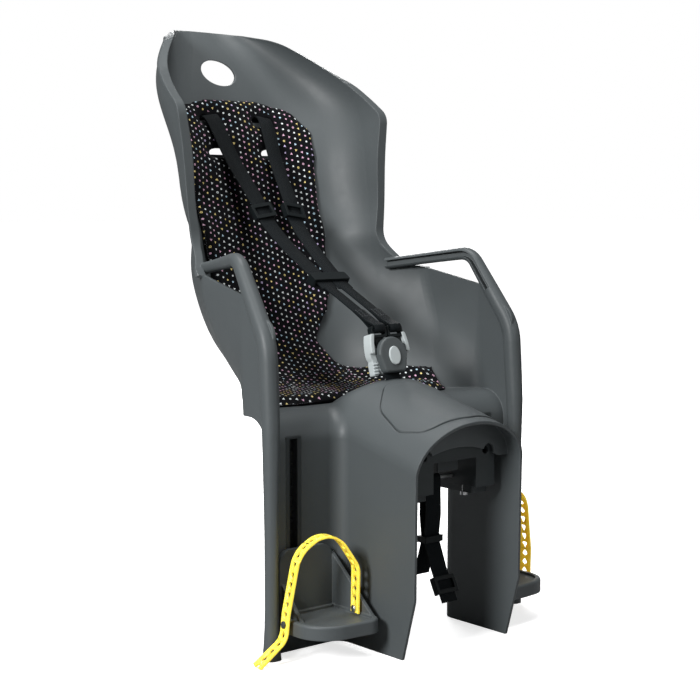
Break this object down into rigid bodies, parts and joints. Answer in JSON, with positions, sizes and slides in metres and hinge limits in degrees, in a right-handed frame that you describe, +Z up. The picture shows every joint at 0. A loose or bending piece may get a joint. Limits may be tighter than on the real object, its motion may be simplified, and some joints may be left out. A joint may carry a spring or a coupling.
{
  "type": "child bike seat",
  "caption": "Moulded child seat for the rear of a bicycle, with a shoulder harness, a padded bucket, arm loops, sliding footrests and sockets for a sprung bow.",
  "frame": {"origin": "midway between the mouths of the two sockets that take the bow", "axes": "+X to the child's left, -Y the way the bicycle rides and the way the sockets face, +Z up"},
  "size_m": [0.4619, 0.5853, 0.7962],
  "materials": {
    "shell_grey": "fine moulded grain",
    "cover_grey": "fine moulded grain",
    "pad_cloth": "woven, small printed dots and triangles",
    "webbing_black": "woven webbing",
    "fitting_black": "satin",
    "rack_dark": "satin",
    "buckle_dark": "satin",
    "buckle_pale": "satin",
    "steel": "brushed",
    "strap_yellow": "smooth"
  },
  "bodies": {
    "seat": {"seat_shell": "shell_grey", "hump_cover": "cover_grey", "seat_pad": "pad_cloth", "strap_keeper": "fitting_black", "buckle_rear": "buckle_pale", "buckle_front": "buckle_dark", "crotch_strap": "webbing_black", "crotch_bar": "steel", "adapter_housing": "fitting_black", "clamp_screws": "steel", "seat_screws": "steel", "bridge_plate": "steel", "strap_bar": "steel", "safety_strap": "webbing_black", "safety_keeper": "fitting_black", "safety_slider": "fitting_black", "shoulder_strap_left": "webbing_black", "strap_anchor_left": "fitting_black", "buckle_tongue_left": "fitting_black", "clamp_plate_left": "fitting_black", "rack_left": "rack_dark", "rack_clip_left": "fitting_black", "shoulder_strap_right": "webbing_black", "strap_anchor_right": "fitting_black", "buckle_tongue_right": "fitting_black", "clamp_plate_right": "fitting_black", "rack_right": "rack_dark", "rack_clip_right": "fitting_black"},
    "footrest_left": {"footrest_left": "shell_grey", "foot_strap_left": "strap_yellow", "foot_stud_left": "rack_dark", "foot_rivet_left": "steel"},
    "footrest_right": {"footrest_right": "shell_grey", "foot_strap_right": "strap_yellow", "foot_stud_right": "rack_dark", "foot_rivet_right": "steel"},
    "button": {"buckle_button": "buckle_pale"},
    "slider_left": {"strap_slider_left": "fitting_black"},
    "slider_right": {"strap_slider_right": "fitting_black"}
  },
  "joints": [
    {"name": "footrest_left_slide", "type": "slide", "parent": "seat", "child": "footrest_left", "axis": [0, 0, 1], "range_m": [0, 0.12]},
    {"name": "footrest_right_slide", "type": "slide", "parent": "seat", "child": "footrest_right", "axis": [0, 0, 1], "range_m": [0, 0.12]},
    {"name": "button_press", "type": "slide", "parent": "seat", "child": "button", "axis": [0, 0.9659, -0.2588], "range_m": [0, 0.0035], "stiffness_N_per_m": 1200, "springref_m": -0.001},
    {"name": "slider_left_slide", "type": "slide", "parent": "seat", "child": "slider_left", "axis": [0.1202, 0.5673, 0.8147], "range_m": [-0.008, 0.1]},
    {"name": "slider_right_slide", "type": "slide", "parent": "seat", "child": "slider_right", "axis": [-0.1202, 0.5673, 0.8147], "range_m": [-0.008, 0.1]}
  ]
}
